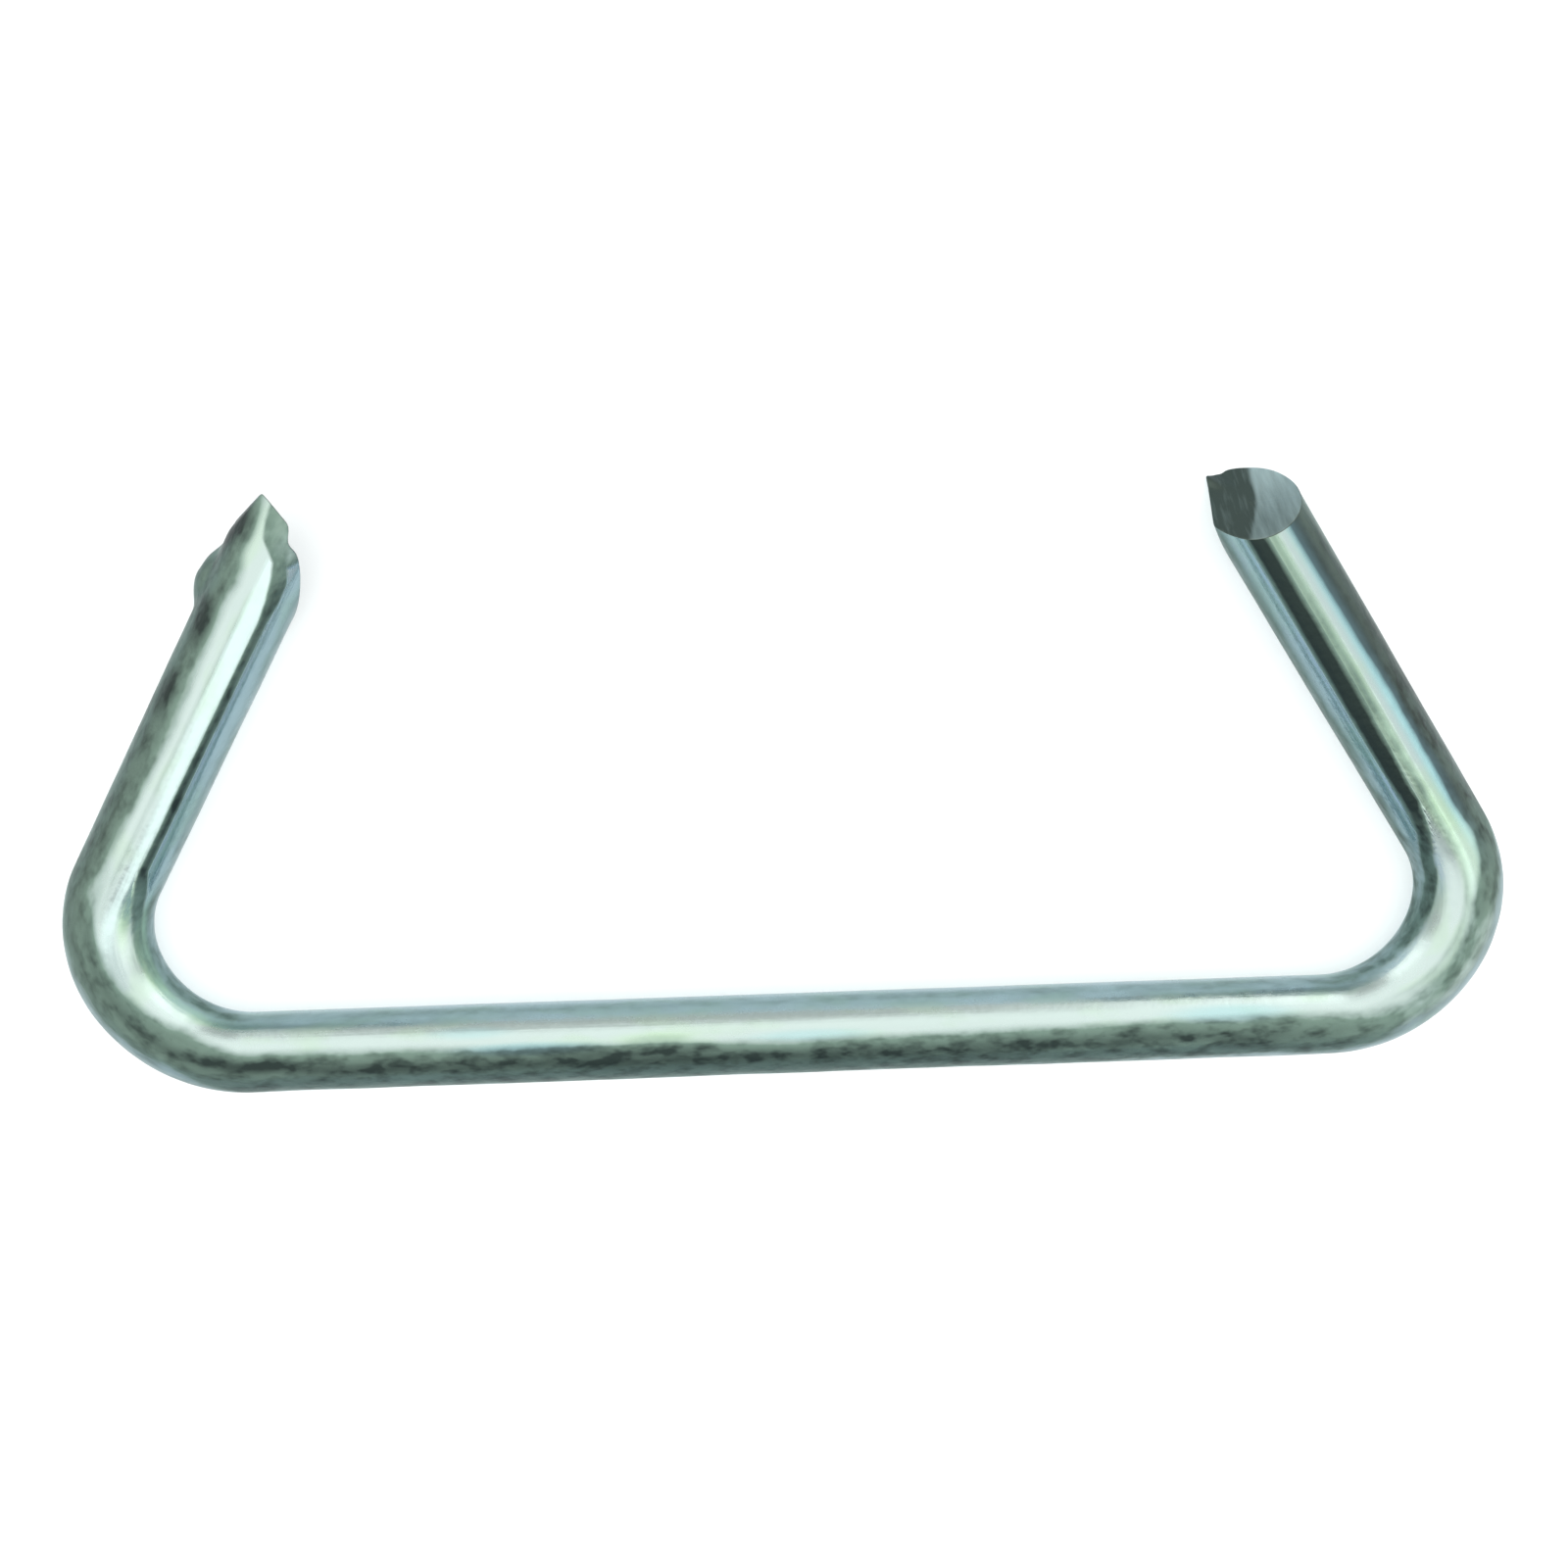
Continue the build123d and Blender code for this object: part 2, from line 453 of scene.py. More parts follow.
def ring_surface(sizes):
    """Whole ring as grids: rows run from the left cut's middle down the left leg, round the left
    bend, along the crown and up to the right cut's middle, and columns run round the wire from its
    underside. Length counts from the left bend's start, and around is the angle from the wire's
    outer side. Also gives the middles of both cuts and the lengths at which the parts meet."""
    around = np.linspace(-math.pi / 2, 1.5 * math.pi, sizes.columns, endpoint=False)
    left = Leg(-1, sizes, sizes.left_lean, sizes.left_straight, TIPS["left"])
    right = Leg(1, sizes, sizes.right_lean, sizes.right_straight, TIPS["right"])
    crown_start = left.bend_radius * left.turn
    crown_end = crown_start + sizes.crown_straight
    right_bend_end = crown_end + right.bend_radius * right.turn
    parts = [in_line(leg_surface(left, sizes, around), 0.0, -1),
             in_line(bend_surface(left, sizes, around), crown_start, -1, turned=True),
             in_line(crown_surface(sizes, around), crown_start, 1),
             in_line(bend_surface(right, sizes, around), crown_end, 1),
             in_line(leg_surface(right, sizes, around), right_bend_end, 1, turned=True)]
    grids = {name: np.concatenate([part[name] for part in parts]) for name in parts[0]}
    grids["around"] = around + 0 * grids["length"]
    middles = [tip_middle(leg, sizes.edge_wear) for leg in (left, right)]
    marks = {"left_tip": -sizes.left_straight, "left_bend": 0.0, "crown_start": crown_start,
             "crown_end": crown_end, "right_bend_end": right_bend_end,
             "right_tip": right_bend_end + sizes.right_straight}
    return grids, middles, marks


def rippled_points(grids, depth):
    """Points of the ring with the side of the wire sunk by two sizes of smooth noise, more on the
    outer side. This fades to nothing on the cuts and the underside and to two fifths on top, so
    that the ring keeps its true size."""
    cos, sin = np.cos(grids["around"]), np.sin(grids["around"])
    direction = cos[..., None] * grids["outward"] + sin[..., None] * UP
    noise = sum(share * lattice_noise(grids["points"], size * MM, seed)
                for size, share, seed in RIPPLES)
    outer = 0.5 + 0.5 * smoothstep(-0.2, 0.6, cos)
    above = smoothstep(-0.9, -0.5, sin) * (1 - 0.6 * smoothstep(0.9, 1.0, sin))
    amount = depth * (noise - 1) / 2 * outer * above * (1 - grids["cut"])
    return grids["points"] + amount[..., None] * direction


# Marks between which each part of the wire lies
PART_ENDS = {
    "left_leg": ("left_tip", "left_bend"), "left_turn": ("left_bend", "crown_start"),
    "crown": ("crown_start", "crown_end"), "right_turn": ("crown_end", "right_bend_end"),
    "right_leg": ("right_bend_end", "right_tip"),
}


def along_stops(length, marks, table, column=0):
    """Value along the wire, straight between stops. A table holds the stops of each part of the
    wire: how far along the part one lies, from 0 to 1, and its values, of which one column is
    read."""
    places, levels = [], []
    for part, stops in table.items():
        start, end = (marks[mark] for mark in PART_ENDS[part])
        for share, *values in stops:
            places.append(start * (1 - share) + end * share)
            levels.append(values[column])
    return np.interp(length, places, levels)


# Weathered film on the wire's outer side, with painted shade: its darkness there partly stands
# in for the dim room that the metal mirrors. Its upper edge and its foot are angles round the
# wire from its outermost line, in degrees. Its strength is 1 where it is whole, and more where
# it is darker with painted shade as well.
FILM_AND_SHADE_TOP = {
    "left_leg": [(-0.17, 70), (-0.11, 74), (-0.03, 76), (0.01, 84), (0.05, 85), (0.09, 81),
                 (0.3, 85), (0.5, 89), (1.0, 82)],
    "left_turn": [(0.25, 106), (0.75, 132)],
    "crown": [(0.0, 114), (0.5, 105), (1.0, 118)],
    "right_turn": [(0.25, 112), (0.75, 101)],
    "right_leg": [(0.0, 74), (0.5, 74), (1.0, 80)],
}
FILM_AND_SHADE_FOOT = {
    "left_leg": [(0.0, 22), (1.0, 36)],
    "left_turn": [(0.25, 62), (0.75, 78)],
    "crown": [(0.0, 44), (0.6, 44), (1.0, 60)],
    "right_turn": [(0.25, 74), (0.75, 70)],
    "right_leg": [(0.1, 10), (0.5, 24), (1.0, 42)],
}
FILM_AND_SHADE_STRENGTH = {
    "left_leg": [(0.0, 1.2), (0.4, 1.6), (1.0, 1.65)],
    "left_turn": [(0.25, 1.5), (0.75, 1.7)],
    "crown": [(0.0, 1.65), (0.8, 1.6), (1.0, 1.45)],
    "right_turn": [(0.25, 0.8), (0.75, 1.2)],
    "right_leg": [(0.02, 1.8), (0.3, 2.7), (0.6, 3.1), (1.0, 2.7)],
}
# Degrees below and above its upper edge and its foot over which the film fades, its share below
# the foot, partly painted shade on the wire's lower side, and where it ends on the underside
FILM_AND_SHADE_TOP_FADE = (15, 9)
FILM_AND_SHADE_FOOT_FADE = (20, 14)
FILM_AND_SHADE_BELOW_FOOT = 0.35
UNDERSIDE_FADE = (-90, -56)
# Bands of film and painted shade, each with how soft its edges are and, at each stop, where it
# starts and ends in degrees round the wire and its strength: painted shade along the inner side,
# a painted dark reflection in a line on each leg, a darker band along the crown's top from the
# left bend on, and a thin line in the highlight at either end
FILM_AND_SHADE_BANDS = {
    "inner_side_painted_shade": (12, {
        "left_leg": [(0.0, 158, 204, 0.3), (1.0, 158, 204, 0.5)],
        "left_turn": [(0.25, 164, 204, 0.55), (0.75, 172, 204, 0.8)],
        "crown": [(0.0, 150, 180, 0.35), (0.5, 150, 180, 0.25), (1.0, 154, 184, 0.35)],
        "right_turn": [(0.25, 160, 204, 0.65), (0.75, 160, 204, 0.75)],
        "right_leg": [(0.2, 158, 204, 1.1), (1.0, 158, 204, 0.9)],
    }),
    "left_painted_reflection": (3, {
        "left_leg": [(-0.18, 76, 150, 0.8), (-0.13, 81, 150, 0.8), (-0.085, 89, 150, 0.8),
                     (-0.04, 112, 130, 1.1), (0.0, 118, 138, 1.8), (0.06, 124, 139, 2.2),
                     (0.12, 127, 136, 2.6), (0.9, 126, 135, 2.9), (0.94, 128, 144, 1.8),
                     (0.98, 132, 152, 1.0)],
        "left_turn": [(0.1, 142, 160, 0.7), (0.4, 150, 164, 0.5), (0.55, 152, 166, 0.0)],
    }),
    "right_painted_reflection": (5, {
        "right_turn": [(0.3, 164, 182, 0.2), (0.6, 154, 172, 0.7), (0.8, 146, 164, 1.1)],
        "right_leg": [(0.0, 135, 153, 1.8), (0.07, 123, 137, 2.8), (0.16, 116, 133, 3.8),
                      (0.5, 112, 134, 3.8), (1.0, 112, 132, 3.8)],
    }),
    "crown_top": (8, {
        "left_leg": [(0.85, 84, 92, 0.0)],
        "left_turn": [(0.1, 84, 96, 0.7), (0.5, 88, 102, 0.8), (0.9, 92, 107, 1.1)],
        "crown": [(0.1, 76, 94, 1.4), (0.5, 77, 92, 1.2), (0.9, 80, 98, 1.1)],
        "right_turn": [(0.2, 82, 98, 0.0)],
    }),
    "left_highlight": (3, {
        "left_leg": [(0.03, 101, 105, 0.0), (0.15, 101, 105, 0.3), (0.95, 98, 102, 0.25)],
        "left_turn": [(0.2, 104, 108, 0.0)],
    }),
    "right_highlight": (4, {
        "right_turn": [(0.1, 120, 124, 0.0), (0.35, 113, 118, 0.35), (0.8, 104, 110, 0.35)],
        "right_leg": [(0.0, 100, 106, 0.2)],
    }),
}
# How blotchy the film is, and how hazy the plating is, rubbed by the bending
MOTTLING = {
    "left_turn": [(0.0, 1.0)],
    "right_turn": [(0.5, 1.2)],
    "right_leg": [(0.0, 1.3), (0.25, 0.9), (0.6, 0.35)],
}
HAZE = {
    "left_leg": [(0.9, 0.2)],
    "left_turn": [(0.2, 0.8), (0.8, 0.8)],
    "crown": [(0.1, 0.5), (0.9, 0.5)],
    "right_turn": [(0.2, 0.8), (0.6, 0.8)],
    "right_leg": [(0.0, 1.1), (0.1, 0.1)],
}
# Single patches from each mark on the wire: how far on the middle lies and half the length in
# millimetres, angle round the wire and half the width in degrees, and strength. Film and painted
# shade: the crushed left tip with its lump and painted shade on its outward flank, dark spots,
# and a long faint streak on the right leg. Blue and green: tints of the plating, and a painted
# reflection in the green stripe on the right leg.
FILM_AND_SHADE_PATCHES = {
    "left_tip": [(-1.0, 0.9, 26, 38, 3.0), (1.1, 1.2, 12, 60, 0.5), (2.1, 0.85, 60, 18, 1.7),
                 (4.4, 0.8, 54, 16, 1.4)],
    "right_bend_end": [(6.5, 6.5, 105, 8, 0.7), (1.2, 0.7, 62, 16, 0.7), (-1.8, 0.8, 84, 10, 0.6)],
    "crown_start": [(0.3, 0.9, 90, 10, 0.8), (12.7, 2.8, 74, 12, 0.5), (12.2, 2.4, 99, 8, 0.9),
                    (12.8, 1.0, 112, 8, 0.35)],
    "crown_end": [(-15.8, 0.6, 72, 12, 0.6), (-12.0, 2.4, 72, 12, 0.5), (-7.0, 0.5, 78, 12, 0.7),
                  (-3.1, 0.9, 76, 13, 0.8)],
}
BLUE_PATCHES = {
    "crown_end": [(-3.4, 1.9, 121, 13, 0.6)],
    "crown_start": [(7.0, 1.2, 132, 9, 0.4), (8.8, 2.2, 106, 9, 0.8), (17.5, 1.8, 112, 8, 0.5)],
}
# The long green stripe on the right leg is a painted reflection; the others are tints
GREEN_PATCHES = {
    "right_bend_end": [(5.5, 7.5, 104, 9, 0.8), (0.2, 2.2, 88, 12, 0.5)],
    "left_bend": [(2.5, 2.5, 160, 12, 1.1), (0.2, 1.8, 132, 9, 0.7)],
    "crown_start": [(-1.5, 2.0, 156, 10, 0.4), (12.6, 1.3, 114, 10, 0.6), (3.5, 1.5, 70, 14, 0.6)],
    "crown_end": [(-9.5, 2.2, 76, 14, 0.6)],
}
# Blue stripe on the right leg, a painted reflection and on its film painted shade: how softly it
# starts, and the degrees over which it rises and ends
BLUE_START_FADE = 2 * MM
BLUE_RISE = (52, 68)
BLUE_END = (78, 92)
# Share of the mottling that is left where there is no film
CLEAN_MOTTLING = 0.08


def patches(length, around, marks, table):
    """Sum of flat-topped bells, each its strength times exp(-(u^2 + v^2)^2), where u and v are the
    distances from its middle along the wire and round it, over its half sizes."""
    total = np.zeros_like(length)
    for mark, spots in table.items():
        for on, half_length, angle, half_width, strength in spots:
            u = (length - marks[mark] - on * MM) / (half_length * MM)
            v = (np.degrees(around) - angle) / half_width
            total = total + strength * np.exp(-(u ** 2 + v ** 2) ** 2)
    return total


def film_and_shade_share(length, around, marks):
    """Share of weathered film and painted shade, from 0 up: on the outer side it fades upwards
    across its top edge and, by two thirds, downwards across its foot, and the bands and patches,
    which paint shade and dark reflections too, add to it."""
    degrees = np.degrees(around)
    top = along_stops(length, marks, FILM_AND_SHADE_TOP)
    foot = along_stops(length, marks, FILM_AND_SHADE_FOOT)
    below = 1 - smoothstep(top - FILM_AND_SHADE_TOP_FADE[0], top + FILM_AND_SHADE_TOP_FADE[1], degrees)
    above = smoothstep(foot - FILM_AND_SHADE_FOOT_FADE[0], foot + FILM_AND_SHADE_FOOT_FADE[1], degrees)
    above = FILM_AND_SHADE_BELOW_FOOT + (1 - FILM_AND_SHADE_BELOW_FOOT) * above
    film_and_shade = along_stops(length, marks, FILM_AND_SHADE_STRENGTH) * below * above
    film_and_shade = film_and_shade * smoothstep(*UNDERSIDE_FADE, degrees)
    for soft, stops in FILM_AND_SHADE_BANDS.values():
        start, end, strength = (along_stops(length, marks, stops, column) for column in range(3))
        film_and_shade = film_and_shade + (strength * smoothstep(start - soft, start + soft, degrees)
                       * (1 - smoothstep(end - soft, end + soft, degrees)))
    return film_and_shade + patches(length, around, marks, FILM_AND_SHADE_PATCHES)


def blue_share(length, around, marks):
    """Share of blue: a painted reflection in a stripe with soft sides along the right leg, and the
    blue patches.
    """
    start = marks["right_bend_end"]
    degrees = np.degrees(around)
    stripe = smoothstep(start - BLUE_START_FADE, start + BLUE_START_FADE, length)
    stripe = stripe * smoothstep(*BLUE_RISE, degrees) * (1 - smoothstep(*BLUE_END, degrees))
    return stripe + patches(length, around, marks, BLUE_PATCHES)


def make_mesh(title, points, middles, attributes):
    """Closed mesh from a grid whose columns wrap round, fanned to a middle point at each end."""
    rows, columns = points.shape[:2]
    index = np.arange(rows * columns).reshape(rows, columns)
    right = np.roll(index, -1, axis=1)
    quads = np.stack([index[:-1], index[1:], right[1:], right[:-1]], axis=-1).reshape(-1, 4)
    first, last = rows * columns, rows * columns + 1
    start_fan = np.stack([np.full(columns, first), index[0], right[0]], axis=-1)
    end_fan = np.stack([index[-1], np.full(columns, last), right[-1]], axis=-1)
    vertices = np.concatenate([points.reshape(-1, 3), np.array(middles)])
    mesh = bpy.data.meshes.new(title)
    faces = quads.tolist() + start_fan.tolist() + end_fan.tolist()
    mesh.from_pydata(vertices.tolist(), [], faces)
    for name, values in attributes.items():
        flat = np.asarray(values, dtype=np.float32)
        if flat.ndim == 2:
            layer = mesh.attributes.new(name, "FLOAT", "POINT")
            ends = [flat[0].mean(), flat[-1].mean()]
            layer.data.foreach_set("value", np.append(flat.ravel(), ends))
        else:
            layer = mesh.attributes.new(name, "FLOAT_VECTOR", "POINT")
            ends = np.stack([flat[0].mean(axis=0), flat[-1].mean(axis=0)])
            vectors = np.concatenate([flat.reshape(-1, 3), ends])
            layer.data.foreach_set("vector", vectors.ravel())
    mesh.shade_smooth()
    mesh.set_sharp_from_angle(angle=SHARP_ANGLE)
    mesh.update()
    return mesh


def signed_volume(mesh):
    """Volume of a closed mesh, negative if its faces point inwards: the sum over its triangles of
    a sixth of the corners' triple product."""
    mesh.calc_loop_triangles()
    corners = np.zeros(len(mesh.loop_triangles) * 3, np.int32)
    mesh.loop_triangles.foreach_get("vertices", corners)
    places = np.zeros(len(mesh.vertices) * 3, np.float32)
    mesh.vertices.foreach_get("co", places)
    a, b, c = places.reshape(-1, 3)[corners.reshape(-1, 3)].astype(float).transpose(1, 0, 2)
    return float(np.einsum("ij,ij->", a, np.cross(b, c)) / 6)


# Sizes of the patterns in millimetres, along the wire and round it. Real die lines, shear lines and
# grit are finer than 0.05 mm, too fine to show, and are drawn coarser.
SPOTS = (0.8, 0.4)
PATCHES = (2.2, 0.7)
DIE_LINES = (7.0, 0.16)
SHEAR_LINES = (0.12, 0.9)
GRIT = 0.22
# Share of patches in the blotches, whose rest is spots, and how far blotches shift the film
PATCH_SHARE = 0.6
BLOTCH_SHIFT = 2.2
# Roughness of clean and of dulled plating and of the cuts, how metallic the dulled plating is, and
# what grit and haze add to the roughness
CLEAN_ROUGHNESS = 0.13
DULL_ROUGHNESS = 0.34
CUT_ROUGHNESS = 0.45
DULL_METALLIC = 0.8
GRIT_ROUGHNESS = 0.10
HAZE_ROUGHNESS = 0.18
# Relief: its depth, the shares of spots, grit and die lines, and how much of the spots and grit
# the clean plating keeps
RELIEF_DEPTH = 0.05 * MM
SPOT_RELIEF = 0.5
GRIT_RELIEF = 0.3
DIE_LINE_RELIEF = 0.12
CLEAN_RELIEF = 0.22


def zinc_plated_steel(colours):
    """Drawn steel wire, electroplated with zinc, passivated and tumbled. That gives a blue-grey
    gloss with faint green and blue tints where it is clean, a darker, duller and finely pitted
    film on its outer side, and bare dark grainy steel on its sheared ends. Painted shade darkens
    the film, the inner side and a line along each leg, painted reflections tint the right leg, and
    a painted highlight lightens each cut's outer facet."""
    material = bpy.data.materials.new("zinc_plated_steel")
    material.use_nodes = True
    tree = material.node_tree
    tree.nodes.clear()
    place = add_node(tree, "ShaderNodeTexCoord").outputs["Object"]
    wire = add_node(tree, "ShaderNodeAttribute", attribute_name="wire").outputs["Vector"]
    film_and_shade, blue, green, mottling, haze, cut, painted_facet_light = (
        add_node(tree, "ShaderNodeAttribute", attribute_name=name).outputs["Fac"]
        for name in ("film_and_shade", "blue", "green", "mottling", "haze", "cut", "painted_facet_light"))

    # Spots and patches drawn out along the wire, the die's lines, lines down the cuts, and grit
    noises = []
    for vector, (along, across), detail, roughness in (
            (wire, SPOTS, 2.5, 0.6), (wire, PATCHES, 2.0, 0.5), (wire, DIE_LINES, 2.0, 0.5),
            (place, SHEAR_LINES, 3.0, 0.5)):
        scale = (per_metre(along), per_metre(across), per_metre(across))
        drawn_out = add_node(tree, "ShaderNodeMapping", {"Scale": scale}, {"Vector": vector})
        noises.append(add_node(
            tree, "ShaderNodeTexNoise", {"Scale": 1.0, "Detail": detail, "Roughness": roughness},
            {"Vector": drawn_out.outputs["Vector"]}).outputs["Fac"])
    mottle, patch, streaks, shear_lines = noises
    grit = add_node(tree, "ShaderNodeTexNoise", {"Scale": per_metre(GRIT), "Detail": 2.0},
                    {"Vector": place}).outputs["Fac"]
    spots = add_node(tree, "ShaderNodeMath", {1: 1 - PATCH_SHARE}, {0: mottle},
                     operation="MULTIPLY").outputs[0]
    blotch = add_node(tree, "ShaderNodeMath", {1: PATCH_SHARE}, {0: patch, 2: spots},
                      operation="MULTIPLY_ADD").outputs[0]

    # Weathered film and painted shade, whose edge breaks up in blotches: dulled runs from 0 to 1,
    # and painted shade follows where it is stronger than 1. Pits, the green tint and the haze's
    # clouds come from the noises, and roughness, metallic and the rise of the relief from dulled.
    shift = add_node(tree, "ShaderNodeMath", {1: BLOTCH_SHIFT, 2: -BLOTCH_SHIFT / 2}, {0: blotch},
                     operation="MULTIPLY_ADD").outputs[0]
    film_and_shade_sum = add_node(tree, "ShaderNodeMath", None, {0: shift, 1: mottling, 2: film_and_shade},
                        operation="MULTIPLY_ADD").outputs[0]
    dulled = add_node(tree, "ShaderNodeMapRange", None, {"Value": film_and_shade_sum}).outputs["Result"]
    painted_shade, pits, tint, cloud, rough, metal, rise = (
        add_node(tree, "ShaderNodeMapRange", ends, {"Value": value}).outputs["Result"]
        for value, ends in (
            (film_and_shade_sum, {"From Min": 0.95, "From Max": 3.5}),
            (mottle, {"From Min": 0.46, "From Max": 0.72, "To Max": 0.4}),
            (patch, {"From Min": 0.5, "From Max": 0.64, "To Max": 0.3}),
            (blotch, {"From Min": 0.42, "From Max": 0.60, "To Min": 0.5}),
            (dulled, {"To Min": CLEAN_ROUGHNESS, "To Max": DULL_ROUGHNESS}),
            (dulled, {"To Min": 1.0, "To Max": DULL_METALLIC}),
            (dulled, {"To Min": CLEAN_RELIEF, "To Max": 1.0})))
    pits = add_node(tree, "ShaderNodeMath", None, {0: pits, 1: mottling},
                    operation="MULTIPLY").outputs[0]
    pits_and_painted_shade = add_node(tree, "ShaderNodeMath", None, {0: pits, 1: dulled, 2: painted_shade},
                    operation="MULTIPLY_ADD", use_clamp=True).outputs[0]
    green = add_node(tree, "ShaderNodeMath", None, {0: tint, 1: green}, operation="ADD",
                     use_clamp=True).outputs[0]
    haze = add_node(tree, "ShaderNodeMath", None, {0: haze, 1: cloud},
                    operation="MULTIPLY").outputs[0]

    # Colours of the plating with its tints and painted reflections, its film and painted shade, and
    # of the cut with its lines and painted highlight
    smear_and_facet_light = add_node(tree, "ShaderNodeMath", {1: 0.6, 2: -0.3}, {0: shear_lines},
                     operation="MULTIPLY_ADD").outputs[0]
    smear_and_facet_light = add_node(tree, "ShaderNodeMath", None, {0: smear_and_facet_light, 1: painted_facet_light}, operation="ADD",
                     use_clamp=True).outputs[0]
    clean, weathered_and_shaded, sheared = (
        add_node(tree, "ShaderNodeMix", {6: tuple(first), 7: tuple(second)}, {"Factor": factor},
                 data_type="RGBA").outputs[2]
        for first, second, factor in (
            (colours.bright_zinc, colours.green_zinc, green),
            (colours.dull_and_shaded_zinc, colours.blue_painted_shade, blue),
            (colours.sheared_steel, colours.smeared_and_lit_steel, smear_and_facet_light)))
    clean = add_node(tree, "ShaderNodeMix", {7: tuple(colours.blue_zinc)},
                     {"Factor": blue, 6: clean}, data_type="RGBA").outputs[2]
    plating = add_node(tree, "ShaderNodeMix", None, {"Factor": dulled, 6: clean, 7: weathered_and_shaded},
                       data_type="RGBA").outputs[2]
    plating = add_node(tree, "ShaderNodeMix", {7: tuple(colours.pit_dirt_and_shade)},
                       {"Factor": pits_and_painted_shade, 6: plating}, data_type="RGBA").outputs[2]
    base = add_node(tree, "ShaderNodeMix", None, {"Factor": cut, 6: plating, 7: sheared},
                    data_type="RGBA").outputs[2]

    # Glossy where clean, satin where dulled or hazed, and a matt grain on the cut
    for share, amount in ((GRIT_ROUGHNESS, grit), (HAZE_ROUGHNESS, haze)):
        rough = add_node(tree, "ShaderNodeMath", {1: share}, {0: amount, 2: rough},
                         operation="MULTIPLY_ADD").outputs[0]
    rough = add_node(tree, "ShaderNodeMix", {"B": CUT_ROUGHNESS},
                     {"Factor": cut, "A": rough}).outputs["Result"]

    # Relief: pitted film and grit, and faint die lines and dents in the clean plating
    relief = add_node(tree, "ShaderNodeMath", {1: SPOT_RELIEF}, {0: mottle},
                      operation="MULTIPLY").outputs[0]
    relief = add_node(tree, "ShaderNodeMath", {1: GRIT_RELIEF}, {0: grit, 2: relief},
                      operation="MULTIPLY_ADD").outputs[0]
    relief = add_node(tree, "ShaderNodeMath", None, {0: relief, 1: rise},
                      operation="MULTIPLY").outputs[0]
    relief = add_node(tree, "ShaderNodeMath", {1: DIE_LINE_RELIEF}, {0: streaks, 2: relief},
                      operation="MULTIPLY_ADD").outputs[0]
    bump = add_node(tree, "ShaderNodeBump", {"Strength": 1.0, "Distance": RELIEF_DEPTH},
                    {"Height": relief}).outputs["Normal"]
    shader = add_node(tree, "ShaderNodeBsdfPrincipled", None,
                      {"Base Color": base, "Roughness": rough, "Metallic": metal, "Normal": bump})
    add_node(tree, "ShaderNodeOutputMaterial", None, {"Surface": shader.outputs["BSDF"]})
    return material


def table_material(colours):
    """Matt laminate table, plain and pale, which shows only the ring's soft shadow."""
    material = bpy.data.materials.new("pale_table")
    material.use_nodes = True
    tree = material.node_tree
    tree.nodes.clear()
    shader = add_node(tree, "ShaderNodeBsdfDiffuse", {"Color": tuple(colours.table)})
    add_node(tree, "ShaderNodeOutputMaterial", None, {"Surface": shader.outputs["BSDF"]})
    return material


# Soft panels round the table as the metal sees them, painted in this order over the grey room:
# azimuth from +X and elevation in degrees, width and height, softness of the sides and of the ends,
# level and sRGB tint. A panel as wide as the full turn has no sides.
FULL_TURN = 360
ROOM_TINT = "99a6a1"
PANELS = [
    ("low_back", 89, 8, 274, 44, 8, 9, 1.2, "ffeede"),
    ("low_right", 40, 17, 66, 39, 10, 9, 3.6, "ffeede"),
    ("low_left", 140, 20, 50, 38, 5, 9, 3.3, "ffeede"),
    ("back", 102, 56, 305, 60, 5, 9, 2.6, "ffeede"),
    ("low_front_left", 297, 10, 34, 34, 6, 4, 1.0, "e8f0ff"),
    ("dark_card", 272, 36, 22, 44, 5, 4, 0.04, "a0b0c0"),
    ("top", 0, 90, 360, 76, 5, 4, 2.5, "ffeede"),
    ("east_card", 342, 64, 58, 32, 6, 5, 1.9, "fff2e4"),
    ("front_right", 296, 52, 32, 38, 4, 4, 3.2, "fff2e4"),
    ("low_front", 240, 6, 50, 34, 5, 3, 1.25, "e8f0ff"),
    ("low_front_right", 335, 26, 30, 32, 6, 6, 3.0, "ffeede"),
]


